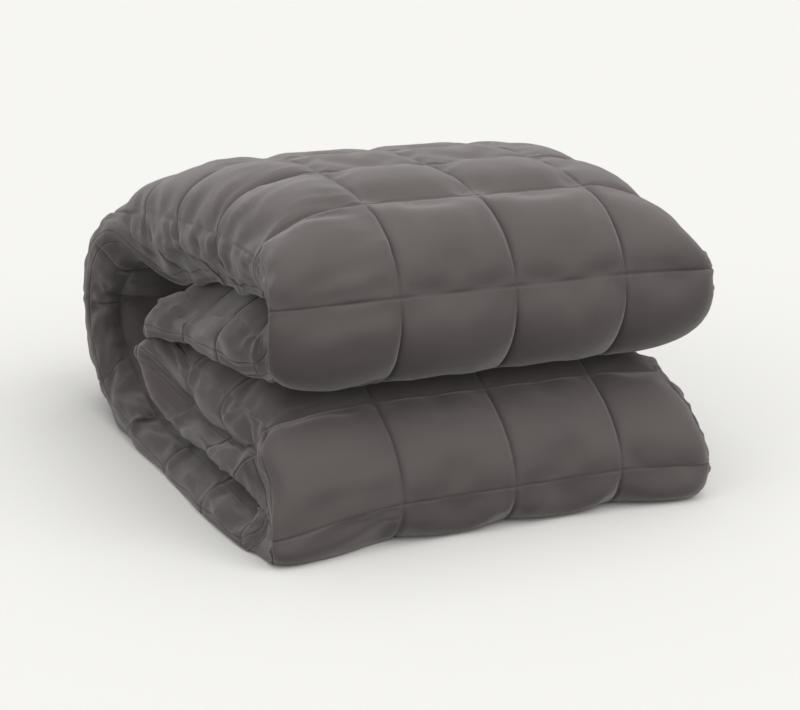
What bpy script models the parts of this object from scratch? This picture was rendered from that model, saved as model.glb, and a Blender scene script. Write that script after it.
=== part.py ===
"""A weighted blanket, box-quilted and folded into a block.

The blanket is folded in thirds from side to side, both ends are then folded to the
middle, and the whole is folded in half.  What lies in the block is one thick quilted
band, and its lengthwise section is the table FOLD.  The band is laid out as a flat
closed slab, bent along that section, turned down to its hems at the sides as LEFT_SIDE
and RIGHT_SIDE say, and pushed out into one puff for each sewn pocket.

Metres, +Z up.  +X runs along the front folds, +Y from the front folds to the back bend,
and the origin is the middle of the underside.
"""
import math
from bisect import bisect_right

import bmesh
import bpy
from mathutils import Vector

# Driving dimensions, in metres
POCKET = 0.098          # one sewn square, as the filling draws it in
HEM = 0.007             # thickness of the sewn hem
PUFF = 0.010            # height of a puff over its seams where it is free
PUFF_PRESSED = 0.0025   # height of a puff that lies between layers
COLOUR = (0.128, 0.113, 0.107, 1.0)

# The band's layout, in pockets
ROWS = 20                                   # pockets along the band
FIRST_SEAM, LAST_SEAM = -1, 3               # the outermost seams that run along the band
FLAT_LEFT, FLAT_RIGHT = 0, 2                # beyond these seams the band turns down over its sides
STEPS = (0.0, 0.14, 0.5, 0.86)              # where a pocket's mesh lines lie
BEND_STEPS = (0.0, 0.14, 0.32, 0.5, 0.68, 0.86)   # the same, along the band in a tight bend
BEND_ROWS = (3, 4, 8, 15, 16)               # the rows of pockets that bend tightly
HEM_STEPS = (0.14, 0.32, 0.5, 0.68, 0.86)   # the same, from the last seam to a side hem
PILLOW_POWER = 2.4                          # the higher, the flatter a puff is on top
END_TAPER = 0.5                             # length over which an end thins to its hem
END_DROOP = 0.08                            # how far an end's hem hangs below the middle
SIDE_BULGE = 1.15                           # how far a face swings out between edge seam and hem

# Section of the folded band, in pockets.  Each row is a line through its thickness.
#   seam               number of the sewn line, counted along the band
#   out_y, out_z       the point on the face that ends up outside
#   in_y, in_z         the point on the other face
#   puff               how free the outer face is to puff, from 0 to 1
FOLD_COLUMNS = ("seam", "out_y", "out_z", "in_y", "in_z", "puff")
FOLD = (
    # end inside the upper fold
    (0.0, 3.08, 1.50, 3.08, 1.86, 0.3),
    (1.0, 2.28, 1.41, 2.30, 1.93, 0.1),
    (2.0, 1.36, 1.38, 1.46, 1.96, 0.1),
    # upper front fold
    (3.0, 0.44, 1.28, 1.00, 1.94, 0.7),
    (3.5, 0.05, 1.58, 0.86, 1.96, 1.0),
    (4.0, -0.02, 2.06, 0.79, 2.03, 1.0),
    (4.5, 0.24, 2.44, 0.86, 2.09, 1.0),
    (5.0, 0.73, 2.66, 1.00, 2.11, 0.8),
    # top
    (6.0, 1.72, 2.75, 1.76, 2.10, 0.5),
    (7.0, 2.70, 2.71, 2.60, 2.06, 0.4),
    # back bend
    (8.0, 3.64, 2.48, 3.36, 1.89, 0.5),
    (9.0, 4.46, 2.02, 3.94, 1.62, 0.8),
    (10.0, 5.02, 1.36, 4.28, 1.19, 1.0),
    (11.0, 4.98, 0.44, 4.28, 0.76, 1.0),
    # underside
    (12.0, 4.06, 0.00, 3.84, 0.54, 0.3),
    (13.0, 2.98, 0.00, 2.95, 0.52, 0.3),
    (14.0, 1.90, 0.00, 2.00, 0.52, 0.3),
    (15.0, 0.82, 0.00, 1.14, 0.52, 0.5),
    # lower front fold
    (15.5, 0.14, 0.03, 0.94, 0.52, 1.0),
    (16.0, -0.08, 0.38, 0.82, 0.57, 1.0),
    (16.5, 0.12, 0.77, 0.90, 0.62, 1.0),
    (17.0, 0.54, 1.05, 1.03, 0.63, 0.7),
    # end inside the lower fold
    (18.0, 1.40, 1.26, 1.50, 0.60, 0.1),
    (19.0, 2.30, 1.28, 2.34, 0.60, 0.1),
    (20.0, 3.16, 1.20, 3.16, 0.64, 0.3),
)

# The two sides of the band, in pockets.  There the outer face runs over the edge seam to the
# hem, and the inner face over a line of its own, in_x, in_y and in_z.
#   fall, in_fall      how far a face has turned towards the other one there, in degrees
#   turn, in_turn      how far it has turned on the hem
#   round              how gently the outer face turns at the edge seam, from 0, a crease, to 1
#   puff               how free both faces are to puff beyond the edge seam, from 0 to 1
SIDE_COLUMNS = ("seam", "edge_x", "edge_y", "edge_z", "fall", "round", "hem_x", "hem_y", "hem_z",
                "turn", "in_x", "in_y", "in_z", "in_fall", "in_turn", "puff")
LEFT_SIDE = (
    # end inside the upper fold
    (0.0, -0.90, 3.08, 1.41, 0, 1.0, -1.21, 3.08, 1.41, 40, -0.80, 3.08, 1.50, 5, 60, 0.3),
    (1.0, -0.85, 2.28, 1.27, 0, 1.0, -1.08, 2.30, 1.29, 60, -0.92, 2.30, 1.48, 25, 105, 0.6),
    (2.0, -0.85, 1.38, 1.30, 0, 1.0, -1.04, 1.44, 1.30, 60, -0.88, 1.46, 1.64, 40, 105, 0.7),
    # upper front fold
    (3.0, -0.86, 0.42, 1.38, 20, 0.6, -0.92, 0.80, 1.36, 60, -0.84, 0.98, 1.61, 45, 110, 0.2),
    (3.5, -1.06, 0.08, 1.60, 90, 0.2, -0.84, 0.70, 1.48, 90, -0.74, 0.86, 1.74, 30, 90, 0.1),
    (4.0, -1.08, -0.01, 2.06, 90, 0.2, -0.86, 0.50, 1.72, 100, -0.72, 0.74, 1.86, 20, 60, 0.0),
    (4.5, -1.02, 0.21, 2.29, 90, 0.4, -0.86, 0.46, 1.86, 100, -0.70, 0.70, 1.95, 10, 40, 0.0),
    (5.0, -0.96, 0.62, 2.32, 75, 1.0, -0.87, 0.72, 2.00, 115, -0.68, 0.90, 2.12, 0, 10, 0.0),
    # top
    (6.0, -0.93, 1.70, 2.31, 80, 1.0, -0.84, 1.40, 1.87, 120, -0.55, 1.65, 2.06, 0, 0, 0.7),
    (7.0, -0.98, 2.70, 2.26, 80, 1.0, -0.78, 2.02, 1.81, 130, -0.50, 2.50, 2.04, 0, 0, 0.8),
    (8.0, -1.02, 3.64, 2.16, 80, 1.0, -0.82, 2.85, 1.63, 130, -0.55, 3.20, 1.84, 0, 0, 0.7),
    # back bend
    (8.25, -1.03, 3.84, 2.12, 80, 1.0, -0.86, 3.25, 1.54, 120, -0.65, 3.40, 1.74, 0, 10, 0.5),
    (8.5, -1.06, 4.02, 2.07, 80, 1.0, -1.06, 3.58, 1.67, 105, -0.80, 3.55, 1.70, 0, 20, 0.1),
    (8.75, -1.10, 4.24, 2.04, 60, 1.0, -1.24, 3.92, 1.89, 85, -0.95, 3.82, 1.64, 0, 30, 0.0),
    (9.0, -1.13, 4.47, 1.97, 40, 1.0, -1.37, 4.24, 1.74, 80, -1.05, 4.05, 1.50, 0, 45, 0.4),
    (10.0, -1.16, 4.94, 1.32, 35, 1.0, -1.41, 4.60, 1.11, 85, -1.12, 4.40, 1.12, 0, 45, 0.4),
    (11.0, -1.15, 4.90, 0.42, 35, 1.0, -1.40, 4.24, 0.36, 70, -1.08, 4.25, 0.58, 0, 50, 0.4),
    # underside
    (12.0, -1.10, 3.90, 0.00, 0, 1.0, -1.37, 3.30, 0.14, 60, -1.05, 3.35, 0.20, 10, 60, 0.6),
    (13.0, -1.10, 2.80, 0.00, 0, 1.0, -1.30, 2.32, 0.03, 30, -1.05, 2.38, 0.22, 10, 80, 0.8),
    (14.0, -1.10, 1.75, 0.00, 0, 1.0, -1.28, 1.25, 0.03, 30, -1.05, 1.35, 0.23, 15, 80, 0.7),
    (15.0, -1.05, 0.75, 0.00, 0, 1.0, -1.20, 0.42, 0.05, 40, -0.98, 0.58, 0.17, 15, 80, 0.6),
    # lower front fold
    (15.5, -1.08, 0.06, 0.02, 45, 0.3, -1.10, 0.30, 0.12, 90, -0.95, 0.60, 0.22, 20, 70, 0.1),
    (16.0, -1.12, -0.08, 0.24, 90, 0.2, -1.00, 0.35, 0.25, 90, -0.92, 0.65, 0.28, 20, 70, 0.1),
    (16.5, -1.05, 0.12, 0.66, 90, 0.2, -0.95, 0.45, 0.44, 90, -0.95, 0.75, 0.33, 20, 90, 0.1),
    (16.75, -1.06, 0.30, 0.84, 90, 0.25, -0.96, 0.55, 0.58, 100, -0.97, 0.85, 0.35, 20, 110, 0.1),
    (17.0, -0.93, 0.50, 0.96, 80, 0.3, -0.95, 0.68, 0.70, 110, -1.02, 0.96, 0.38, 20, 150, 0.1),
    # end inside the lower fold
    (18.0, -0.96, 1.40, 0.99, 40, 1.0, -0.95, 1.40, 0.60, 125, -1.14, 1.50, 0.46, 30, 165, 0.9),
    (19.0, -1.00, 2.30, 1.00, 35, 1.0, -0.99, 2.30, 0.67, 125, -1.18, 2.34, 0.45, 30, 165, 0.9),
    (19.6, -1.00, 2.84, 1.06, 25, 1.0, -1.12, 2.84, 0.86, 100, -1.20, 2.84, 0.62, 30, 150, 0.7),
    (20.0, -0.95, 3.16, 1.10, 10, 1.0, -1.24, 3.16, 1.03, 60, -1.00, 3.16, 0.92, 10, 60, 0.5),
)
RIGHT_SIDE = (
    # end inside the upper fold
    (0.0, 2.90, 3.08, 1.47, 0, 1.0, 3.16, 3.08, 1.46, 40, 2.90, 3.08, 1.62, 10, 60, 0.5),
    (1.0, 2.85, 2.28, 1.33, 0, 1.0, 3.08, 2.30, 1.36, 60, 2.96, 2.30, 1.60, 30, 105, 0.8),
    (2.0, 2.82, 1.38, 1.33, 0, 1.0, 3.02, 1.44, 1.34, 60, 2.90, 1.46, 1.66, 35, 105, 0.7),
    # upper front fold
    (3.0, 2.74, 0.43, 1.40, 22, 0.6, 2.91, 0.83, 1.37, 75, 2.86, 0.98, 1.65, 45, 110, 0.3),
    (3.5, 2.86, 0.10, 1.64, 78, 0.4, 2.89, 0.65, 1.54, 90, 2.78, 0.88, 1.76, 30, 90, 0.2),
    (4.0, 2.86, 0.02, 2.03, 80, 0.5, 2.90, 0.48, 1.80, 95, 2.76, 0.72, 1.91, 20, 60, 0.2),
    (4.5, 2.74, 0.22, 2.24, 80, 0.4, 2.90, 0.44, 1.90, 105, 2.74, 0.66, 2.00, 10, 40, 0.1),
    (5.0, 2.68, 0.64, 2.36, 70, 0.7, 2.90, 0.66, 2.13, 115, 2.72, 0.86, 2.18, 0, 10, 0.0),
    # top
    (6.0, 2.76, 1.70, 2.38, 70, 1.0, 2.92, 1.60, 1.93, 120, 2.60, 1.72, 2.06, 0, 0, 0.8),
    (7.0, 2.82, 2.70, 2.34, 70, 1.0, 2.96, 2.45, 1.86, 125, 2.60, 2.58, 2.00, 0, 0, 0.9),
    # back bend
    (8.0, 2.88, 3.64, 2.22, 70, 1.0, 3.02, 3.25, 1.70, 115, 2.65, 3.30, 1.80, 0, 10, 0.9),
    (9.0, 2.98, 4.46, 1.88, 45, 1.0, 3.16, 4.05, 1.66, 90, 2.85, 3.98, 1.52, 0, 40, 0.5),
    (10.0, 3.00, 4.96, 1.32, 35, 1.0, 3.20, 4.62, 1.16, 80, 2.90, 4.36, 1.14, 0, 45, 0.4),
    (11.0, 3.00, 4.92, 0.42, 35, 1.0, 3.20, 4.50, 0.44, 75, 2.90, 4.27, 0.64, 0, 45, 0.4),
    # underside
    (12.0, 2.98, 3.98, 0.00, 0, 1.0, 3.20, 3.75, 0.12, 60, 2.90, 3.75, 0.30, 10, 60, 0.6),
    (13.0, 2.98, 2.90, 0.00, 0, 1.0, 3.20, 2.75, 0.04, 40, 2.90, 2.75, 0.26, 10, 80, 0.8),
    (14.0, 2.98, 1.82, 0.00, 0, 1.0, 3.18, 1.70, 0.04, 40, 2.90, 1.72, 0.26, 15, 80, 0.7),
    (15.0, 2.90, 0.78, 0.00, 0, 1.0, 3.08, 0.68, 0.06, 45, 2.86, 0.85, 0.22, 15, 80, 0.5),
    # lower front fold
    (15.5, 2.82, 0.06, 0.02, 45, 0.4, 2.98, 0.45, 0.14, 90, 2.84, 0.72, 0.28, 20, 70, 0.3),
    (16.0, 2.88, -0.06, 0.33, 80, 0.4, 2.94, 0.45, 0.32, 90, 2.84, 0.72, 0.36, 20, 70, 0.3),
    (16.5, 2.80, 0.14, 0.70, 75, 0.4, 2.90, 0.52, 0.52, 95, 2.86, 0.78, 0.42, 20, 90, 0.3),
    (17.0, 2.70, 0.50, 0.98, 60, 0.6, 2.92, 0.66, 0.72, 105, 2.90, 0.94, 0.44, 20, 120, 0.4),
    # end inside the lower fold
    (18.0, 2.82, 1.40, 1.00, 45, 1.0, 2.98, 1.40, 0.66, 115, 3.00, 1.50, 0.46, 30, 140, 0.9),
    (19.0, 2.86, 2.30, 1.02, 40, 1.0, 3.02, 2.30, 0.72, 110, 3.02, 2.34, 0.46, 30, 140, 0.9),
    (20.0, 2.90, 3.16, 1.10, 10, 1.0, 3.16, 3.16, 1.03, 60, 2.92, 3.16, 0.94, 10, 60, 0.5),
)


def fold_at(seam):
    """The section at any place along the band, as a dict of the table's columns."""
    return read_table(FOLD, FOLD_COLUMNS, seam)


def side_at(seam, way):
    """One side at any place along the band; way is -1 for the left side and 1 for the right."""
    return read_table(LEFT_SIDE if way < 0 else RIGHT_SIDE, SIDE_COLUMNS, seam)


def read_table(table, columns, seam):
    """Reads every column of a table at one seam number, with a smooth curve through its rows."""
    stations = [row[0] for row in table]
    i = min(max(bisect_right(stations, seam) - 1, 0), len(table) - 2)
    span = stations[i + 1] - stations[i]
    t = (seam - stations[i]) / span
    values = {"seam": seam}
    for column, name in enumerate(columns[1:], start=1):
        values[name] = hermite(table[i][column], slope(table, i, column) * span,
                               table[i + 1][column], slope(table, i + 1, column) * span, t)
    return values


def slope(table, i, column):
    """How fast a column changes at row i, from the rows before and after it."""
    before, after = max(i - 1, 0), min(i + 1, len(table) - 1)
    return (table[after][column] - table[before][column]) / (table[after][0] - table[before][0])


def hermite(start, leaving, end, arriving, t):
    """A point on the smooth curve from start to end with the given speeds at both."""
    return (start * (2 * t ** 3 - 3 * t ** 2 + 1) + leaving * (t ** 3 - 2 * t ** 2 + t)
            + end * (3 * t ** 2 - 2 * t ** 3) + arriving * (t ** 3 - t ** 2))


def mesh_lines_along():
    """Places along the band, in pockets, where the slab has mesh lines."""
    lines = [row + step for row in range(ROWS)
             for step in (BEND_STEPS if row in BEND_ROWS else STEPS)]
    return lines + [float(ROWS)]


def mesh_lines_across():
    """Places across the band: whole numbers are seams, -2 and 4 are the side hems."""
    left = [FIRST_SEAM - step for step in reversed(HEM_STEPS)]
    right = [LAST_SEAM + step for step in HEM_STEPS]
    middle = [seam + step for seam in range(FIRST_SEAM, LAST_SEAM) for step in STEPS]
    return [FIRST_SEAM - 1.0] + left + middle + [float(LAST_SEAM)] + right + [LAST_SEAM + 1.0]


def rounded(t):
    """Rises from 0 to 1 over a distance of 1 in a quarter circle."""
    t = min(max(t, 0.0), 1.0)
    return math.sqrt(1.0 - (1.0 - t) ** 2)


def middle_point(across, seam, outer):
    """A point of the flat middle of the band, in pockets."""
    section = fold_at(seam)
    face = "out_" if outer else "in_"
    return Vector((across, section[face + "y"], section[face + "z"]))


def side_point(across, seam, outer, hem):
    """A point of the band where it turns down over one of its sides, in pockets."""
    way, flat = (-1, FLAT_LEFT) if across < FLAT_LEFT else (1, FLAT_RIGHT)
    side = side_at(seam, way)
    past = (across - flat) * way
    start = middle_point(flat, seam, outer)
    to_other = (middle_point(flat, seam, not outer) - start).normalized()
    edge = Vector(side[("edge_" if outer else "in_") + axis] for axis in "xyz")
    fall, turn = (side["fall"], side["turn"]) if outer else (side["in_fall"], side["in_turn"])
    smooth = min(max(side["round"], 0.1), 1.0) if outer else 1.0
    at_edge = heading(fall, way, to_other) * smooth
    if past < 1:
        reach = (edge - start).length
        return hermite(start, Vector((way * reach, 0.0, 0.0)), edge, at_edge * reach, past)
    end = Vector(side["hem_" + axis] for axis in "xyz") - to_other * (hem / 2)
    reach = (end - edge).length * SIDE_BULGE
    return hermite(edge, at_edge * reach, end, heading(turn, way, to_other) * reach, past - 1)


def heading(angle, way, to_other):
    """The way a face runs towards a side hem once it has turned by an angle in degrees."""
    angle = math.radians(angle)
    return Vector((way * math.cos(angle), 0.0, 0.0)) + to_other * math.sin(angle)


def face_point(across, seam, outer, hem):
    """A point of one face of the band, in pockets, as if the band had no ends."""
    if FLAT_LEFT <= across <= FLAT_RIGHT:
        return middle_point(across, seam, outer)
    return side_point(across, seam, outer, hem)


def band_point(across, seam, outer):
    """A point of the folded band before it puffs, in metres."""
    hem = HEM / POCKET
    point = face_point(across, seam, outer, hem)
    full = rounded(min(seam, ROWS - seam) / END_TAPER)
    if full < 1.0:
        other = face_point(across, seam, not outer, hem)
        end_hem = (point + other) / 2 - Vector((0.0, 0.0, END_DROOP))
        end_hem += (point - other).normalized() * (hem / 2)
        point = end_hem.lerp(point, full)
    return point * POCKET


def pillow(position):
    """Height of a puff across one pocket: 0 on its seams, 1 in its middle."""
    offset = abs(2 * (position % 1.0) - 1)
    return 1 - offset ** PILLOW_POWER


def freedom(across, seam, outer):
    """How free the cloth is to puff here, from 0 between layers to 1 in the open."""
    if across < FIRST_SEAM or across > LAST_SEAM:
        return max(side_at(seam, -1 if across < FIRST_SEAM else 1)["puff"], 0.0)
    return fold_at(seam)["puff"] if outer else 0.0


def puff_height(across, seam, outer):
    """How far the filling pushes the cloth out here, in metres."""
    height = PUFF_PRESSED + (PUFF - PUFF_PRESSED) * freedom(across, seam, outer)
    return height * pillow(across) * pillow(seam)


def flat_slab():
    """The band laid flat as a closed slab, and where each of its points belongs."""
    along, across = mesh_lines_along(), mesh_lines_across()
    bm = bmesh.new()
    bmesh.ops.create_grid(bm, x_segments=len(across) - 1, y_segments=len(along) - 1, size=0.5)
    outer = list(bm.verts)
    copied = bmesh.ops.extrude_face_region(bm, geom=list(bm.faces), use_keep_orig=True)["geom"]
    inner = [item for item in copied if isinstance(item, bmesh.types.BMVert)]
    places = {}
    for verts, is_outer in ((outer, True), (inner, False)):
        for vert in verts:
            column = round((vert.co.x + 0.5) * (len(across) - 1))
            row = round((vert.co.y + 0.5) * (len(along) - 1))
            places[vert] = (across[column], along[row], is_outer)
    return bm, places


def build_blanket(collection):
    """The blanket as one closed solid."""
    bm, places = flat_slab()
    for vert, place in places.items():
        vert.co = band_point(*place)
    bmesh.ops.recalc_face_normals(bm, faces=list(bm.faces))
    bm.normal_update()
    pushes = {vert: vert.normal * puff_height(*place) for vert, place in places.items()}
    for vert, push in pushes.items():
        vert.co += push
    settle(bm)

    mesh = bpy.data.meshes.new("blanket")
    bm.to_mesh(mesh)
    bm.free()
    mesh.shade_smooth()
    blanket = bpy.data.objects.new("blanket", mesh)
    blanket.data.materials.append(cloth_material())
    collection.objects.link(blanket)
    return blanket


def settle(bm):
    """Rests the blanket on the floor, flat where it touches, with the origin under it."""
    low = Vector(min(v.co[axis] for v in bm.verts) for axis in range(3))
    high = Vector(max(v.co[axis] for v in bm.verts) for axis in range(3))
    centre = (low + high) / 2
    for vert in bm.verts:
        vert.co.x -= centre.x
        vert.co.y -= centre.y
        vert.co.z = max(vert.co.z, 0.0)


def cloth_material():
    """Smooth warm grey cloth."""
    material = bpy.data.materials.new("warm_grey_cloth")
    material.use_nodes = True
    shader = material.node_tree.nodes["Principled BSDF"]
    shader.inputs["Base Color"].default_value = COLOUR
    shader.inputs["Roughness"].default_value = 0.75
    shader.inputs["Metallic"].default_value = 0.0
    return material


def main():
    for obj in list(bpy.data.objects):
        bpy.data.objects.remove(obj, do_unlink=True)
    collection = bpy.data.collections.new("weighted_blanket")
    bpy.context.scene.collection.children.link(collection)
    build_blanket(collection)


main()
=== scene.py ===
import math
import random
from bisect import bisect_right
from collections import namedtuple
from functools import lru_cache

import bmesh
import bpy
from bpy.props import FloatProperty, FloatVectorProperty, IntProperty, PointerProperty
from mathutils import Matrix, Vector


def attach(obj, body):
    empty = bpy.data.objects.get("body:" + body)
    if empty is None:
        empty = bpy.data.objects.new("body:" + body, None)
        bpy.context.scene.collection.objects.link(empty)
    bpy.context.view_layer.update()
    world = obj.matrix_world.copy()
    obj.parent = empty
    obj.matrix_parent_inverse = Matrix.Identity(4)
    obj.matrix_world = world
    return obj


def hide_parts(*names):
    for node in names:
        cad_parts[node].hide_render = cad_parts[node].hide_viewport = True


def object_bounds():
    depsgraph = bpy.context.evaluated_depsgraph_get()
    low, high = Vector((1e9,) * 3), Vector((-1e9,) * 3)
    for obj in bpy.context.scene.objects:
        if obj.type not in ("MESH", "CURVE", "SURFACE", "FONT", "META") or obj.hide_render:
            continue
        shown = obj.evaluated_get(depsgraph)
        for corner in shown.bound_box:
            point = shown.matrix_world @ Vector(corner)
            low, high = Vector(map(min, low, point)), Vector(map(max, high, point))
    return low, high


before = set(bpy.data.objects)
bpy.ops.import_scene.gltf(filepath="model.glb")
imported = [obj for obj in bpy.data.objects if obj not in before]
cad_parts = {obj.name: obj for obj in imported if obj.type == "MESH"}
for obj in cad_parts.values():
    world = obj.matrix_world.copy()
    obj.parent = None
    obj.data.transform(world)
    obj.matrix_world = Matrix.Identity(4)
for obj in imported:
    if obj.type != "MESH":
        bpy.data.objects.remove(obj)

bl_info = {
    "name": "Folded weighted blanket",
    "version": (1, 0, 0),
    "blender": (4, 5, 0),
    "location": "View3D > Sidebar > Bedding",
    "description": "Quilts, fills and folds a weighted blanket around its packed frame",
    "category": "Add Mesh",
}

SOLID = "blanket"
BODY = "root"
CAD_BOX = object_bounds()

# The band's layout, in pockets
ROWS = 20                       # pockets along the band
FIRST_SEAM, LAST_SEAM = -1, 3   # the outermost seams that run along the band
FLAT_LEFT, FLAT_RIGHT = 0, 2    # beyond these seams the band turns down over its sides
END_TAPER = 0.26                # length over which an end thins to its hem
END_DROOP = 0.08                # how far an end's hem hangs below the middle of the thickness
CORNER_ROUND, CORNER_REACH = 0.2, 0.35   # how the band narrows where its ends meet its sides
SIDE_REACH, SIDE_BLEND = 0.25, 0.5   # where the sides' own freedom to puff sets in
SIDE_BULGE = 1.15               # how far a face swings out between the edge seam and the hem
# Mesh lines within a pocket: across the band, along it in the open, and along it where hidden
POCKET_STEPS = (0.0, 0.03, 0.10, 0.22, 0.36, 0.5, 0.64, 0.78, 0.90, 0.97)
OPEN_STEPS = (0.0, 0.03, 0.08, 0.17, 0.28, 0.40, 0.52, 0.64, 0.76, 0.86, 0.93, 0.97)
HIDDEN_STEPS = (0.0, 0.03, 0.14, 0.38, 0.62, 0.86, 0.97)
HIDDEN_ROWS = (0, 1, 2, 12, 13, 14, 18, 19)   # rows between the layers and on the floor
LEFT_STEPS, RIGHT_STEPS = 11, 8   # mesh lines from the outermost seam to each side hem
PUFF_SHAPE = 2.4                # how square a puff is: 2 is round, more is flatter on top

# Section of the folded band, in pockets.  Each row is a line through its thickness.
#   seam               number of the sewn line, counted along the band
#   out_y, out_z       the point on the face that ends up outside
#   in_y, in_z         the point on the other face
#   puff               how free the outer face is to puff, from 0 to 1
FOLD_COLUMNS = ("seam", "out_y", "out_z", "in_y", "in_z", "puff")
FOLD = (
    # end inside the upper fold
    (0.0, 3.08, 1.50, 3.08, 1.86, 0.3),
    (1.0, 2.28, 1.41, 2.30, 1.93, 0.1),
    (2.0, 1.36, 1.38, 1.46, 1.96, 0.1),
    # upper front fold
    (3.0, 0.44, 1.26, 1.00, 1.94, 0.9),
    (3.5, 0.05, 1.58, 0.86, 1.96, 1.0),
    (4.0, -0.02, 2.06, 0.79, 2.03, 1.0),
    (4.5, 0.24, 2.44, 0.86, 2.09, 1.0),
    (5.0, 0.73, 2.66, 1.00, 2.11, 0.8),
    # top
    (6.0, 1.72, 2.75, 1.76, 2.10, 0.5),
    (7.0, 2.70, 2.71, 2.60, 2.06, 0.4),
    # back bend
    (8.0, 3.64, 2.48, 3.36, 1.89, 0.5),
    (9.0, 4.46, 2.02, 3.94, 1.62, 0.8),
    (10.0, 5.02, 1.36, 4.28, 1.19, 1.0),
    (11.0, 4.98, 0.44, 4.28, 0.76, 1.0),
    # underside
    (12.0, 4.06, 0.00, 3.84, 0.54, 0.3),
    (13.0, 2.98, 0.00, 2.95, 0.52, 0.3),
    (14.0, 1.90, 0.00, 2.00, 0.52, 0.3),
    (15.0, 0.82, 0.00, 1.14, 0.52, 0.5),
    # lower front fold
    (15.5, 0.14, 0.03, 0.94, 0.52, 1.0),
    (16.0, -0.08, 0.38, 0.82, 0.57, 1.0),
    (16.5, 0.12, 0.77, 0.90, 0.62, 1.0),
    (17.0, 0.54, 1.05, 1.03, 0.63, 0.7),
    (17.5, 0.92, 1.22, 1.25, 0.61, 0.4),
    # end inside the lower fold
    (18.0, 1.40, 1.30, 1.50, 0.60, 0.1),
    (19.0, 2.30, 1.28, 2.34, 0.60, 0.1),
    (20.0, 3.16, 1.20, 3.16, 0.64, 0.3),
)

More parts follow.
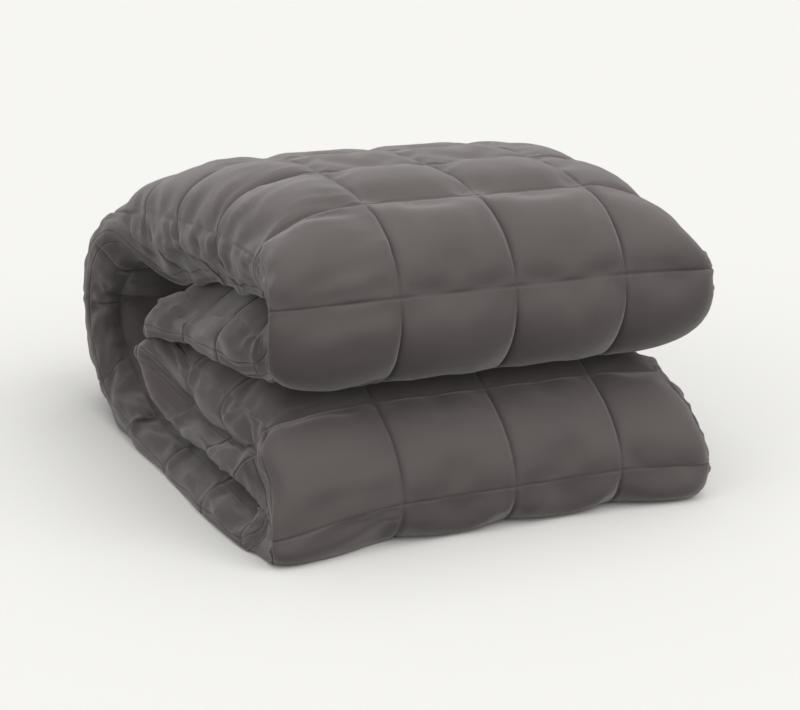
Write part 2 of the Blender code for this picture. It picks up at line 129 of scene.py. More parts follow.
# The two sides of the band, in pockets.  There the outer face runs over the edge seam to the
# hem, and the inner face over a line of its own, in_x, in_y and in_z.
#   fall, in_fall      how far a face has turned towards the other one there, in degrees
#   turn, in_turn      how far it has turned on the hem
#   round              how gently the outer face turns at the edge seam, from 0, a crease, to 1
#   puff               how free both faces are to puff beyond the edge seam, from 0 to 1
SIDE_COLUMNS = ("seam", "edge_x", "edge_y", "edge_z", "fall", "round", "hem_x", "hem_y", "hem_z",
                "turn", "in_x", "in_y", "in_z", "in_fall", "in_turn", "puff")
LEFT_SIDE = (
    # end inside the upper fold
    (0.0, -0.90, 3.08, 1.38, 0, 1.0, -1.28, 3.08, 1.13, 40, -0.84, 3.08, 1.56, 20, 85, 0.3),
    (1.0, -0.85, 2.28, 1.27, 0, 1.0, -1.08, 2.30, 1.25, 60, -0.92, 2.30, 1.48, 25, 105, 0.6),
    (2.0, -0.85, 1.38, 1.30, 0, 1.0, -1.04, 1.44, 1.30, 60, -0.88, 1.46, 1.64, 40, 105, 0.7),
    # upper front fold
    (3.0, -0.86, 0.42, 1.38, 20, 0.6, -0.92, 0.80, 1.36, 60, -0.84, 0.98, 1.61, 45, 110, 0.2),
    (3.5, -1.06, 0.08, 1.60, 90, 0.2, -0.84, 0.70, 1.48, 90, -0.74, 0.86, 1.74, 30, 90, 0.1),
    (4.0, -1.08, -0.01, 2.06, 90, 0.2, -0.86, 0.50, 1.72, 100, -0.72, 0.74, 1.86, 20, 60, 0.0),
    (4.5, -1.02, 0.21, 2.29, 90, 0.4, -0.86, 0.46, 1.86, 100, -0.70, 0.70, 1.95, 10, 40, 0.0),
    (5.0, -0.96, 0.62, 2.32, 75, 1.0, -0.87, 0.72, 2.00, 115, -0.68, 0.90, 2.12, 0, 10, 0.0),
    # top
    (6.0, -0.93, 1.70, 2.31, 80, 1.0, -0.84, 1.40, 1.87, 120, -0.55, 1.65, 2.06, 0, 0, 0.7),
    (7.0, -0.98, 2.70, 2.26, 80, 1.0, -0.78, 2.02, 1.81, 130, -0.50, 2.50, 2.04, 0, 0, 0.8),
    (8.0, -1.02, 3.64, 2.16, 80, 1.0, -0.82, 2.85, 1.63, 130, -0.55, 3.20, 1.84, 0, 0, 0.7),
    # back bend
    (8.25, -1.03, 3.84, 2.12, 80, 1.0, -0.86, 3.25, 1.54, 120, -0.65, 3.40, 1.74, 0, 10, 0.5),
    (8.5, -1.06, 4.02, 2.07, 80, 1.0, -1.06, 3.58, 1.67, 105, -0.80, 3.55, 1.70, 0, 20, 0.1),
    (8.75, -1.10, 4.24, 2.04, 60, 1.0, -1.24, 3.92, 1.89, 85, -0.95, 3.82, 1.64, 0, 30, 0.0),
    (9.0, -1.13, 4.47, 1.97, 40, 1.0, -1.37, 4.24, 1.74, 80, -1.05, 4.05, 1.50, 0, 45, 0.4),
    (10.0, -1.16, 4.94, 1.32, 35, 1.0, -1.41, 4.60, 1.11, 85, -1.12, 4.40, 1.12, 0, 45, 0.4),
    (11.0, -1.15, 4.90, 0.42, 35, 1.0, -1.40, 4.24, 0.36, 70, -1.08, 4.25, 0.58, 0, 50, 0.4),
    # underside
    (12.0, -1.10, 3.90, 0.00, 0, 1.0, -1.37, 3.30, 0.14, 60, -1.05, 3.35, 0.20, 10, 60, 0.6),
    (13.0, -1.10, 2.80, 0.00, 0, 1.0, -1.30, 2.32, 0.03, 30, -1.05, 2.38, 0.22, 10, 80, 0.8),
    (14.0, -1.10, 1.75, 0.00, 0, 1.0, -1.28, 1.25, 0.03, 30, -1.05, 1.35, 0.23, 15, 80, 0.7),
    (15.0, -1.05, 0.75, 0.00, 0, 1.0, -1.20, 0.42, 0.05, 40, -0.98, 0.58, 0.17, 15, 80, 0.6),
    # lower front fold
    (15.5, -1.08, 0.06, 0.02, 45, 0.3, -1.10, 0.30, 0.12, 90, -0.95, 0.60, 0.22, 20, 70, 0.1),
    (16.0, -1.12, -0.08, 0.24, 90, 0.2, -1.00, 0.35, 0.25, 90, -0.92, 0.65, 0.28, 20, 70, 0.1),
    (16.5, -1.05, 0.12, 0.66, 90, 0.2, -0.95, 0.45, 0.44, 90, -0.95, 0.75, 0.33, 20, 90, 0.1),
    (16.75, -1.06, 0.30, 0.84, 90, 0.25, -0.96, 0.55, 0.58, 100, -0.97, 0.85, 0.35, 20, 110, 0.1),
    (17.0, -0.93, 0.50, 0.96, 80, 0.3, -0.95, 0.68, 0.70, 110, -1.02, 0.96, 0.38, 20, 150, 0.1),
    # end inside the lower fold
    (18.0, -0.96, 1.40, 0.99, 40, 1.0, -0.95, 1.40, 0.60, 125, -1.14, 1.50, 0.46, 30, 165, 0.9),
    (19.0, -1.00, 2.30, 1.00, 35, 1.0, -0.99, 2.30, 0.67, 125, -1.18, 2.34, 0.45, 30, 165, 0.9),
    (19.6, -1.00, 2.84, 1.08, 25, 1.0, -1.20, 2.84, 0.90, 100, -1.20, 2.84, 0.62, 30, 150, 0.7),
    (20.0, -0.98, 3.16, 1.12, 10, 1.0, -1.36, 3.16, 1.00, 60, -1.04, 3.16, 0.88, 10, 60, 0.5),
)
RIGHT_SIDE = (
    # end inside the upper fold
    (0.0, 2.90, 3.08, 1.47, 0, 1.0, 3.16, 3.08, 1.46, 40, 2.90, 3.08, 1.62, 10, 60, 0.5),
    (1.0, 2.85, 2.28, 1.33, 0, 1.0, 3.08, 2.30, 1.36, 60, 2.96, 2.30, 1.60, 30, 105, 0.8),
    (2.0, 2.82, 1.38, 1.33, 0, 1.0, 3.02, 1.44, 1.34, 60, 2.90, 1.46, 1.66, 35, 105, 0.7),
    # upper front fold
    (3.0, 2.74, 0.43, 1.40, 22, 0.6, 2.91, 0.83, 1.37, 75, 2.86, 0.98, 1.65, 45, 110, 0.3),
    (3.5, 2.86, 0.10, 1.64, 78, 0.4, 2.89, 0.65, 1.54, 90, 2.78, 0.88, 1.76, 30, 90, 0.2),
    (4.0, 2.86, 0.02, 2.03, 80, 0.5, 2.90, 0.48, 1.80, 95, 2.76, 0.72, 1.91, 20, 60, 0.2),
    (4.5, 2.74, 0.22, 2.24, 80, 0.4, 2.90, 0.44, 1.90, 105, 2.74, 0.66, 2.00, 10, 40, 0.1),
    (5.0, 2.68, 0.64, 2.36, 70, 0.7, 2.90, 0.66, 2.13, 115, 2.72, 0.86, 2.18, 0, 10, 0.0),
    # top
    (6.0, 2.76, 1.70, 2.38, 70, 1.0, 2.92, 1.60, 1.93, 120, 2.60, 1.72, 2.06, 0, 0, 0.8),
    (7.0, 2.82, 2.70, 2.34, 70, 1.0, 2.96, 2.45, 1.86, 125, 2.60, 2.58, 2.00, 0, 0, 0.9),
    # back bend
    (8.0, 2.88, 3.64, 2.22, 70, 1.0, 3.02, 3.25, 1.70, 115, 2.65, 3.30, 1.80, 0, 10, 0.9),
    (9.0, 2.98, 4.46, 1.88, 45, 1.0, 3.16, 4.05, 1.66, 90, 2.85, 3.98, 1.52, 0, 40, 0.5),
    (10.0, 3.00, 4.96, 1.32, 35, 1.0, 3.20, 4.62, 1.16, 80, 2.90, 4.36, 1.14, 0, 45, 0.4),
    (11.0, 3.00, 4.92, 0.42, 35, 1.0, 3.20, 4.50, 0.44, 75, 2.90, 4.27, 0.64, 0, 45, 0.4),
    # underside
    (12.0, 2.98, 3.98, 0.00, 0, 1.0, 3.20, 3.75, 0.12, 60, 2.90, 3.75, 0.30, 10, 60, 0.6),
    (13.0, 2.98, 2.90, 0.00, 0, 1.0, 3.20, 2.75, 0.04, 40, 2.90, 2.75, 0.26, 10, 80, 0.8),
    (14.0, 2.98, 1.82, 0.00, 0, 1.0, 3.18, 1.70, 0.04, 40, 2.90, 1.72, 0.26, 15, 80, 0.7),
    (15.0, 2.90, 0.78, 0.00, 0, 1.0, 3.08, 0.68, 0.06, 45, 2.86, 0.85, 0.22, 15, 80, 0.5),
    # lower front fold
    (15.5, 2.82, 0.06, 0.02, 45, 0.4, 2.98, 0.45, 0.14, 90, 2.84, 0.72, 0.28, 20, 70, 0.3),
    (16.0, 2.88, -0.06, 0.33, 80, 0.4, 2.94, 0.45, 0.32, 90, 2.84, 0.72, 0.36, 20, 70, 0.3),
    (16.5, 2.80, 0.14, 0.70, 75, 0.4, 2.90, 0.52, 0.52, 95, 2.86, 0.78, 0.42, 20, 90, 0.3),
    (17.0, 2.70, 0.50, 0.98, 60, 0.6, 2.92, 0.66, 0.72, 105, 2.90, 0.94, 0.44, 20, 120, 0.4),
    # end inside the lower fold
    (18.0, 2.82, 1.40, 1.00, 45, 1.0, 2.98, 1.40, 0.66, 115, 3.00, 1.50, 0.46, 30, 140, 0.9),
    (19.0, 2.86, 2.30, 1.02, 40, 1.0, 3.02, 2.30, 0.72, 110, 3.02, 2.34, 0.46, 30, 140, 0.9),
    (20.0, 2.90, 3.16, 1.10, 10, 1.0, 3.16, 3.16, 1.03, 60, 2.92, 3.16, 0.94, 10, 60, 0.5),
)

PLACE = ("across", "seam", "outer")   # each point's place in the cloth, kept with the mesh

# Creases in the cloth.  Each runs from one place to another, in pockets; its width is in pockets
# too and its rise in metres, below 0 for a furrow.  The face is 1 where it ends up outside and
# 0 on the other side.
Crease = namedtuple("Crease", ("face", "across", "seam", "to_across", "to_seam", "width", "rise"))
CREASES = (
    # front of the upper fold
    (1, 0.92, 4.88, 0.86, 4.20, 0.050, 0.0012),
    (1, 2.00, 4.85, 1.87, 4.14, 0.050, 0.0012),
    (1, -0.02, 4.88, -0.08, 4.33, 0.040, 0.0010),
    (1, 0.11, 4.92, 0.16, 4.30, 0.050, -0.0012),
    (1, 0.41, 4.05, 0.33, 3.40, 0.060, 0.0012),
    (1, 1.73, 4.02, 1.63, 3.60, 0.060, 0.0012),
    (1, 1.38, 3.95, 1.40, 3.60, 0.050, 0.0008),
    (1, 2.20, 4.05, 2.17, 3.70, 0.050, 0.0010),
    (1, 2.09, 3.98, 2.07, 3.55, 0.050, -0.0012),
    # corner of the upper fold
    (1, -0.80, 4.97, -0.98, 4.76, 0.045, 0.0024),
    (1, -0.98, 4.80, -1.22, 4.50, 0.045, 0.0027),
    (1, -1.22, 4.55, -1.00, 4.10, 0.050, 0.0022),
    # left side of the top
    (1, -1.08, 8.04, -1.44, 8.28, 0.055, 0.0030),
    (1, -1.40, 8.26, -1.76, 8.42, 0.055, 0.0024),
    (1, -1.04, 7.38, -1.29, 7.25, 0.045, 0.0024),
    (1, -1.25, 7.26, -1.58, 7.52, 0.050, 0.0024),
    (1, -1.04, 7.16, -1.26, 7.06, 0.045, 0.0022),
    (1, -1.20, 7.06, -1.82, 7.28, 0.055, 0.0030),
    (1, -1.02, 6.56, -1.28, 6.31, 0.045, 0.0027),
    (1, -1.24, 6.32, -1.78, 6.58, 0.055, 0.0030),
    (1, -1.05, 6.38, -1.70, 6.20, 0.050, 0.0024),
    (1, -1.05, 5.55, -1.65, 5.70, 0.055, 0.0024),
    (1, -1.05, 5.30, -1.60, 5.25, 0.050, 0.0022),
    (1, -1.02, 7.80, -1.50, 7.66, 0.045, 0.0027),
    (1, -1.04, 6.82, -1.60, 6.90, 0.045, 0.0024),
    (1, -0.96, 5.86, -0.55, 5.60, 0.060, 0.0014),
    (1, -0.98, 6.14, -0.50, 6.30, 0.060, 0.0014),
    # front of the lower fold
    (1, 1.34, 16.08, 1.13, 15.60, 0.060, 0.0014),
    (1, 1.93, 16.00, 1.75, 15.60, 0.050, 0.0014),
    (1, 2.02, 16.00, 1.95, 15.65, 0.040, -0.0010),
    # corner of the lower fold
    (1, -1.02, 16.95, -1.40, 16.84, 0.050, 0.0030),
    (1, -1.02, 16.72, -1.34, 16.60, 0.045, 0.0030),
    (1, -1.02, 16.42, -1.28, 16.32, 0.045, 0.0027),
    (1, -1.20, 17.35, -1.85, 17.05, 0.050, 0.0032),
    (1, -1.04, 17.60, -1.50, 17.82, 0.045, 0.0030),
    (1, -1.30, 16.95, -1.60, 16.20, 0.045, 0.0030),
    (1, -1.15, 19.45, -1.50, 19.06, 0.050, 0.0024),
    (1, -1.12, 18.68, -1.60, 18.30, 0.050, 0.0027),
    (1, -1.10, 18.35, -1.50, 18.62, 0.050, 0.0022),
    # crumpled corners of the free ends
    (0, -1.12, 0.72, -1.90, 0.44, 0.055, 0.0041),
    (0, -1.20, 0.34, -1.94, 0.14, 0.050, 0.0038),
    (0, -1.40, 0.10, -1.80, 0.62, 0.045, -0.0030),
    (1, -1.10, 19.86, -1.70, 19.56, 0.050, 0.0038),
    (1, -1.30, 19.50, -1.94, 19.78, 0.050, 0.0035),
    (1, -1.06, 19.20, -1.60, 19.36, 0.045, 0.0030),
    # inside of the back bend and the underside's left edge
    (0, -1.86, 9.80, -0.77, 10.06, 0.070, 0.0024),
    (0, -1.86, 10.24, -0.96, 10.12, 0.065, 0.0022),
    (0, -1.45, 11.95, -1.95, 12.05, 0.060, 0.0024),
    (0, -1.40, 13.60, -1.95, 13.40, 0.055, 0.0024),
    (0, -1.50, 14.30, -1.96, 14.42, 0.050, 0.0024),
)
CREASE_REACH = 3.5  # how far a crease is felt on each side, in widths
CREASE_MARGIN = 3  # how far it is felt in the next pocket, in widths
FURROW_OFF, FURROW_SHARE = 1.7, 0.55  # place and depth of the furrow beside each crest

# Small gathers along the seams of both sides
GATHERS = 3  # in each pocket's edge
GATHER_RISE = 0.0022  # height of the highest, in metres
GATHER_SHARE = (0.4, 1.0)  # height of the others, as a share of that
GATHER_PLACE = (0.1, 0.9)  # where each lies in its own stretch of the seam
GATHER_REACH = (0.25, 0.75)  # how far they run from the seam, in pockets
GATHER_WIDTH = (0.035, 0.055)  # in pockets
GATHER_SLANT = 0.14  # how far an end may stray along the seam
GATHER_SEED = 5

# Stitches, hems and threads, in pockets
STITCH_REACH = 0.012  # half width of the dip along a sewn line
STITCHES_PER_POCKET = 28
STITCH_SHARE = 0.72  # share of a stitch's length where its thread shows
THREAD_WIDTH = 0.005  # half width of the sewing thread
HEM_WIDTH = 0.10  # from a hem's edge to its sewn line
HEM_WAVE, END_WAVE = 0.028, 0.05  # how far the side hems and the end hems ripple
RIPPLES = ((0.6, 7.1, 0.8), (0.4, 15.7, 0.0))  # share, turn to a pocket and start of each
WEAVE_TURNS = 2 * math.pi * 130  # threads in a pocket, as an angle
SLUB_LONG, SLUB_FINE = 4.0, 60.0  # slubs to a pocket, along a thread and across the threads
SEAM_FADE, HEM_FADE = 60.0, 70.0  # how soon the painted shade beside a seam and on the hem line ends

# Finish
DYE_RANGE = (0.8, 1.2)  # darkest and palest dye, as shares of the cloth's colour
SEAM_PAINTED_SHADE = 0.5  # painted shade down in a seam: the colour there, as a share of the cloth's
ROUGH_RANGE = 0.2  # how much the slubs change the roughness
SIDE_WRINKLES = (1.7, 2.3)  # from the band's middle to where side wrinkles start and are full
WRINKLE_STRETCH = (0.8, 2.3, 1.0)  # how close they lie, across and along the band
CREST_SHARPNESS = 16.0  # the larger, the narrower they are
DYE_SCALE, DENT_SCALE = 1.7, 3.5  # patches of dye and soft dents to a pocket

# Filled cloth, as the simulation knows it
FILLED_CLOTH = {"quality": 6, "mass": 0.3, "tension_stiffness": 12.0,
                "compression_stiffness": 12.0, "shear_stiffness": 5.0, "bending_stiffness": 0.3}
ON_SEAM = 0.01  # share of a full puff under which a point is held as sewn
ON_FLOOR = 0.0005  # height under which a point is held by the floor, in metres
HARDLY_FREE = 0.05  # freedom to puff under which the cloth is held
HOLD = 0.35  # how firmly half pressed cloth is held

# How free the inner face is to puff along the band: only the back bend lies open
INNER_FREE = ((0.0, 0.3), (1.0, 0.0), (7.4, 0.0), (8.4, 0.5), (11.6, 0.5), (12.6, 0.0),
              (19.0, 0.0), (20.0, 0.3))

# Brightness of the sky at the horizon and overhead
SKY_LOW, SKY_HIGH = 0.22, 0.8
# Lamps: name, strength, softness, tilt from overhead and turn from the front, in degrees
LAMPS = (
    ("overhead", 2.0, 80.0, 8.0, 20.0),
    ("right", 1.8, 50.0, 54.0, 32.0),
    ("front", 0.9, 50.0, 72.0, -24.0),
    ("left", 0.95, 50.0, 65.0, -75.0),
)
FLOOR_SIZE, FLOOR_DROP = 40.0, 0.0005   # half its width, and how far it lies below z = 0


# -------- settings

class BlanketSettings(bpy.types.PropertyGroup):
    pocket: FloatProperty(name="Pocket", description="One sewn square, as the filling draws it in",
                          default=0.098, min=0.05, max=0.2, unit="LENGTH")
    hem: FloatProperty(name="Hem", description="Thickness of the sewn hem",
                       default=0.005, min=0.001, max=0.02, unit="LENGTH")
    puff: FloatProperty(name="Puff", description="Height of a puff where cloth is free",
                        default=0.0075, min=0.0, max=0.03, unit="LENGTH")
    pressed_puff: FloatProperty(name="Pressed puff", description="Height of a puff between layers",
                                default=0.0015, min=0.0, max=0.02, unit="LENGTH")
    stitch_depth: FloatProperty(name="Stitch depth", description="How far stitches pull in",
                                default=0.0010, min=0.0, max=0.01, unit="LENGTH")
    pressure: FloatProperty(name="Filling", description="Pressure of the filling on the cloth",
                            default=4.0, min=0.0, max=20.0)
    settle_frames: IntProperty(name="Settling", description="Frames over which the cloth fills out",
                               default=20, min=1, max=60)
    spare_cloth: FloatProperty(name="Spare cloth",
                               description="Cloth in each pocket beyond its size",
                               default=0.05, min=0.0, max=0.2, subtype="FACTOR")
    most_free: FloatProperty(name="Free swell", description="The most that free cloth may swell",
                             default=0.009, min=0.0, max=0.03, unit="LENGTH")
    most_pressed: FloatProperty(name="Pressed swell",
                                description="The most that cloth between layers may swell",
                                default=0.001, min=0.0, max=0.03, unit="LENGTH")


class ClothSettings(bpy.types.PropertyGroup):
    colour: FloatVectorProperty(name="Cloth", description="Warm dark grey of the dyed cloth",
                                default=(0.0635, 0.0535, 0.0525), size=3, min=0.0, max=1.0,
                                subtype="COLOR")
    # Painted shade: how far the cloth's colour is darkened along its seams and hem line, standing
    # in for the shade in their dips
    painted_seam_shade: FloatProperty(name="Seam shade", description="How dark the cloth is in its seams",
                              default=0.3, min=0.0, max=1.0, subtype="FACTOR")
    dent_height: FloatProperty(name="Soft dents", description="Height of the cloth's soft dents",
                               default=0.0006, min=0.0, max=0.01, unit="LENGTH")
    pulled_height: FloatProperty(name="Pulled wrinkles",
                                 description="Height of the wrinkles that the side seams pull",
                                 default=0.0005, min=0.0, max=0.01, unit="LENGTH")
    hem_depth: FloatProperty(name="Hem line", description="How far the hem's sewn line sinks in",
                             default=0.0012, min=0.0, max=0.01, unit="LENGTH")
    thread_height: FloatProperty(name="Threads", description="Height of the woven threads",
                                 default=0.00012, min=0.0, max=0.002, unit="LENGTH")
    roughness: FloatProperty(name="Roughness", description="How matt the cloth is",
                             default=0.72, min=0.0, max=1.0, subtype="FACTOR")
    sheen: FloatProperty(name="Sheen", description="Soft light on the fibres at grazing angles",
                         default=0.4, min=0.0, max=1.0, subtype="FACTOR")


class StageSettings(bpy.types.PropertyGroup):
    azimuth: FloatProperty(name="Azimuth", description="Camera's angle round the blanket",
                           default=math.radians(-23.5), subtype="ANGLE")
    elevation: FloatProperty(name="Elevation", description="Camera's angle over the floor",
                             default=math.radians(16.1), subtype="ANGLE")
    distance: FloatProperty(name="Distance", description="From the camera to what it aims at",
                            default=1.582, min=0.1, unit="LENGTH")
    aim: FloatVectorProperty(name="Aim", description="The point that the camera looks at",
                             default=(0.0197, 0.0, 0.0783), size=3, subtype="TRANSLATION",
                             unit="LENGTH")
    lens: FloatProperty(name="Lens", description="Focal length on a 36 mm wide sensor",
                        default=76.5, min=10.0)
    bounce: FloatProperty(name="Bounce", description="Share of the floor's light on the blanket",
                          default=0.205, min=0.0, max=1.0, subtype="FACTOR")
    floor: FloatVectorProperty(name="Floor", description="Pale floor", size=3, min=0.0, max=1.0,
                               default=(0.515, 0.512, 0.497), subtype="COLOR")


# -------- the fold

@lru_cache(maxsize=None)
def fold_at(seam):
    """The section at any place along the band, as a dict of the table's columns."""
    return read_table(FOLD, FOLD_COLUMNS, seam)


@lru_cache(maxsize=None)
def side_at(seam, way):
    """One side at any place along the band; way is -1 for the left side and 1 for the right."""
    return read_table(LEFT_SIDE if way < 0 else RIGHT_SIDE, SIDE_COLUMNS, seam)


def read_table(table, columns, seam):
    """Reads every column of a table at one seam number, with a smooth curve through its rows."""
    stations = [row[0] for row in table]
    i = min(max(bisect_right(stations, seam) - 1, 0), len(table) - 2)
    span = stations[i + 1] - stations[i]
    t = (seam - stations[i]) / span
    values = {}
    for column, name in enumerate(columns[1:], start=1):
        values[name] = hermite(table[i][column], slope(table, i, column) * span,
                               table[i + 1][column], slope(table, i + 1, column) * span, t)
    return values


def slope(table, i, column):
    """How fast a column changes at row i, from the rows before and after it."""
    before, after = max(i - 1, 0), min(i + 1, len(table) - 1)
    return (table[after][column] - table[before][column]) / (table[after][0] - table[before][0])


def hermite(start, leaving, end, arriving, t):
    """A point on the smooth curve from start to end with the given speeds at both."""
    return (start * (2 * t ** 3 - 3 * t ** 2 + 1) + leaving * (t ** 3 - 2 * t ** 2 + t)
            + end * (3 * t ** 2 - 2 * t ** 3) + arriving * (t ** 3 - t ** 2))


def between(table, place):
    """Reads a table of (place, value) rows with a smooth step from row to row."""
    for (start, low), (end, high) in zip(table, table[1:]):
        if place <= end:
            t = min(max((place - start) / (end - start), 0.0), 1.0)
            return low + (high - low) * t * t * (3 - 2 * t)
    return table[-1][1]


def rounded(t):
    """Rises from 0 to 1 over a distance of 1 in a quarter circle."""
    t = min(max(t, 0.0), 1.0)
    return math.sqrt(1.0 - (1.0 - t) ** 2)


def middle_point(across, seam, outer):
    """A point of the flat middle of the band, in pockets."""
    section = fold_at(seam)
    face = "out_" if outer else "in_"
    return Vector((across, section[face + "y"], section[face + "z"]))


def side_point(across, seam, outer, hem):
    """A point of the band where it turns down over one of its sides, in pockets."""
    way, flat = (-1, FLAT_LEFT) if across < FLAT_LEFT else (1, FLAT_RIGHT)
    side = side_at(seam, way)
    past = (across - flat) * way
    start = middle_point(flat, seam, outer)
    to_other = (middle_point(flat, seam, not outer) - start).normalized()
    edge = Vector(side[("edge_" if outer else "in_") + axis] for axis in "xyz")
    fall, turn = (side["fall"], side["turn"]) if outer else (side["in_fall"], side["in_turn"])
    smooth = min(max(side["round"], 0.1), 1.0) if outer else 1.0
    at_edge = heading(fall, way, to_other) * smooth
    if past < 1:
        reach = (edge - start).length
        return hermite(start, Vector((way * reach, 0.0, 0.0)), edge, at_edge * reach, past)
    end = Vector(side["hem_" + axis] for axis in "xyz") - to_other * (hem / 2)
    reach = (end - edge).length * SIDE_BULGE
    return hermite(edge, at_edge * reach, end, heading(turn, way, to_other) * reach, past - 1)


def heading(angle, way, to_other):
    """The way a face runs towards a side hem once it has turned by an angle in degrees."""
    angle = math.radians(angle)
    return Vector((way * math.cos(angle), 0.0, 0.0)) + to_other * math.sin(angle)


def face_point(across, seam, outer, hem):
    """A point of one face of the band, in pockets, as if the band had no ends."""
    if FLAT_LEFT <= across <= FLAT_RIGHT:
        return middle_point(across, seam, outer)
    return side_point(across, seam, outer, hem)


def band_point(across, seam, outer, blanket):
    """A point of the folded band before it puffs, in metres."""
    hem = blanket.hem / blanket.pocket
    from_end = min(seam, ROWS - seam)
    narrow = CORNER_ROUND * (1 - rounded(from_end / CORNER_REACH))
    if across < FIRST_SEAM:
        across = FIRST_SEAM - (FIRST_SEAM - across) * (1 - narrow)
    elif across > LAST_SEAM:
        across = LAST_SEAM + (across - LAST_SEAM) * (1 - narrow)
    point = face_point(across, seam, outer, hem)
    full = rounded(from_end / END_TAPER)
    if full < 1.0:
        other = face_point(across, seam, not outer, hem)
        end_hem = (point + other) / 2 - Vector((0.0, 0.0, END_DROOP))
        end_hem += (point - other).normalized() * (hem / 2)
        end_hem.z += END_WAVE * ripple(across)
        point = end_hem.lerp(point, full)
    past = max(FIRST_SEAM - across, across - LAST_SEAM, 0.0)
    point.z += HEM_WAVE * ripple(seam + across) * past ** 3
    return point * blanket.pocket


def ripple(place):
    """An uneven wave along a hem, between about -1 and 1."""
    return sum(share * math.sin(turn * place + start) for share, turn, start in RIPPLES)


def freedom(across, seam, outer):
    """How free the cloth is to puff here, from 0 between layers to 1 in the open."""
    face = fold_at(seam)["puff"] if outer else between(INNER_FREE, seam)
    way, past = max((-1, FIRST_SEAM - across), (1, across - LAST_SEAM), key=lambda end: end[1])
    share = min(max((past + SIDE_REACH) / SIDE_BLEND, 0.0), 1.0)
    return face + (max(side_at(seam, way)["puff"], 0.0) - face) * share


def pillow(position):
    """Height of a puff across one pocket: 0 on its seams, 1 in its middle."""
    offset = abs(2 * (position % 1.0) - 1)
    return 1 - offset ** PUFF_SHAPE


# -------- the blanket

def mesh_lines():
    """Places along and across the band where it has mesh lines."""
    along = [row + step for row in range(ROWS)
             for step in (HIDDEN_STEPS if row in HIDDEN_ROWS else OPEN_STEPS)] + [float(ROWS)]
    left = [FIRST_SEAM - 1 + k / LEFT_STEPS for k in range(LEFT_STEPS)]
    middle = [seam + step for seam in range(FIRST_SEAM, LAST_SEAM) for step in POCKET_STEPS]
    right = [LAST_SEAM + k / RIGHT_STEPS for k in range(RIGHT_STEPS + 1)]
    return along, left + middle + right


def flat_band():
    """The band laid flat as a closed slab, and where each of its points belongs."""
    along, across = mesh_lines()
    bm = bmesh.new()
    bmesh.ops.create_grid(bm, x_segments=len(across) - 1, y_segments=len(along) - 1, size=0.5)
    outer = list(bm.verts)
    copied = bmesh.ops.extrude_face_region(bm, geom=list(bm.faces), use_keep_orig=True)["geom"]
    inner = [item for item in copied if isinstance(item, bmesh.types.BMVert)]
    places = {}
    for verts, is_outer in ((outer, True), (inner, False)):
        for vert in verts:
            column = round((vert.co.x + 0.5) * (len(across) - 1))
            row = round((vert.co.y + 0.5) * (len(along) - 1))
            places[vert] = (across[column], along[row], is_outer)
    return bm, places


def mark_cloth(bm, places):
    """Gives the mesh its flat cloth coordinates, one unit to a pocket."""
    layer = bm.loops.layers.uv.new("cloth")
    for face in bm.faces:
        for loop in face.loops:
            across, seam, _outer = places[loop.vert]
            loop[layer].uv = (across, seam)


def fold_band(blanket):
    """The folded band with its puffs, as a mesh, and the place of each of its points."""
    bm, places = flat_band()
    mark_cloth(bm, places)
    for vert, (across, seam, outer) in places.items():
        vert.co = band_point(across, seam, outer, blanket)
    bmesh.ops.recalc_face_normals(bm, faces=list(bm.faces))
    bm.normal_update()
    pushes = {}
    for vert, (across, seam, outer) in places.items():
        height = blanket.pressed_puff
        height += (blanket.puff - blanket.pressed_puff) * freedom(across, seam, outer)
        pushes[vert] = vert.normal * height * pillow(across) * pillow(seam)
    for vert, push in pushes.items():
        vert.co += push
    rest_on_floor(bm)
    bm.verts.index_update()
    order = [None] * len(bm.verts)
    for vert, place in places.items():
        order[vert.index] = place
    mesh = bpy.data.meshes.new("quilted_blanket")
    bm.to_mesh(mesh)
    bm.free()
    for column, name in enumerate(PLACE):
        layer = mesh.attributes.new(name, "FLOAT", "POINT")
        layer.data.foreach_set("value", [float(place[column]) for place in order])
    return mesh, order


def rest_on_floor(bm):
    """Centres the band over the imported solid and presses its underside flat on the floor."""
    low = Vector(min(v.co[axis] for v in bm.verts) for axis in range(3))
    high = Vector(max(v.co[axis] for v in bm.verts) for axis in range(3))
    target = (CAD_BOX[0] + CAD_BOX[1]) / 2
    shift = target - (low + high) / 2
    for vert in bm.verts:
        vert.co.x += shift.x
        vert.co.y += shift.y
        vert.co.z = max(vert.co.z, 0.0)


def hold_seams(obj, places):
    """Vertex group that holds the cloth on its seams and between the layers."""
    held = obj.vertex_groups.new(name="held")
    for index, (across, seam, outer) in enumerate(places):
        free = freedom(across, seam, outer)
        on_seam = min(pillow(across), pillow(seam)) < ON_SEAM
        on_floor = obj.data.vertices[index].co.z < ON_FLOOR
        fixed = on_seam or on_floor or free < HARDLY_FREE
        held.add([index], 1.0 if fixed else max(0.0, HOLD * (1 - free)), "REPLACE")


